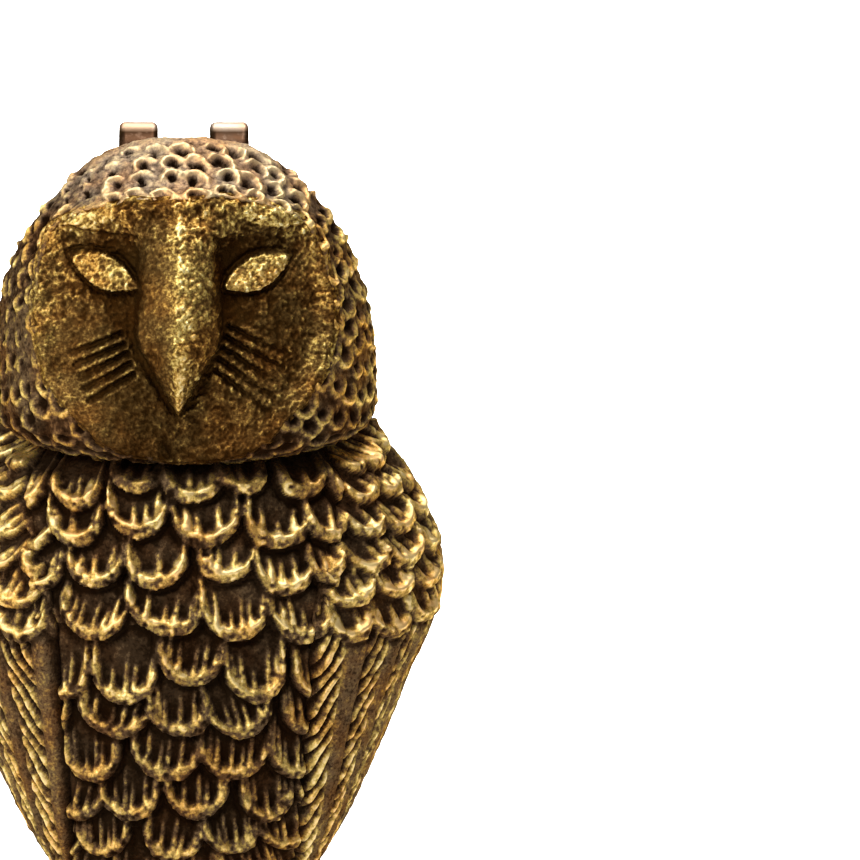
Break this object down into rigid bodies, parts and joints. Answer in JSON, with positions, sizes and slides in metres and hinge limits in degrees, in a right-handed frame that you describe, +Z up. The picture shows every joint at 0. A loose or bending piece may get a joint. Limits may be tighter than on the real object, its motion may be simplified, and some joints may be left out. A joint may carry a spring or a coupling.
{
  "type": "owl door knocker",
  "caption": "Cast brass barn owl, hollow at the back, that hangs from a hinge pin between the ears of a back plate and knocks on its anvil.",
  "frame": {"origin": "on the door face of the back plate, midway between the two tapped fixing holes", "axes": "+Z up, +Y towards the door (the owl faces -Y), +X to the right as seen from the front"},
  "size_m": [0.0738, 0.038, 0.134],
  "materials": {
    "owl_bronze": "antique brass patina, dark brown in the recesses and rubbed to gold on the raised feathers",
    "plate_brass": "plain cast brass, filed smooth and aged to copper brown",
    "worn_brass": "turned brass, worn bright where it rubs"
  },
  "bodies": {
    "plate": {"back_plate": "plate_brass", "hinge_pin": "worn_brass", "left_washer": "worn_brass", "right_washer": "worn_brass", "anvil": "worn_brass"},
    "owl": {"owl_casting": "owl_bronze", "hinge_tongue": "worn_brass", "left_foot": "owl_bronze", "right_foot": "owl_bronze", "perch": "owl_bronze", "striker": "worn_brass"}
  },
  "joints": [
    {"name": "owl_swing", "type": "hinge", "parent": "plate", "child": "owl", "pos_m": [0, -0.006, 0.061], "axis": [-1, 0, 0], "range_deg": [0, 100]}
  ]
}
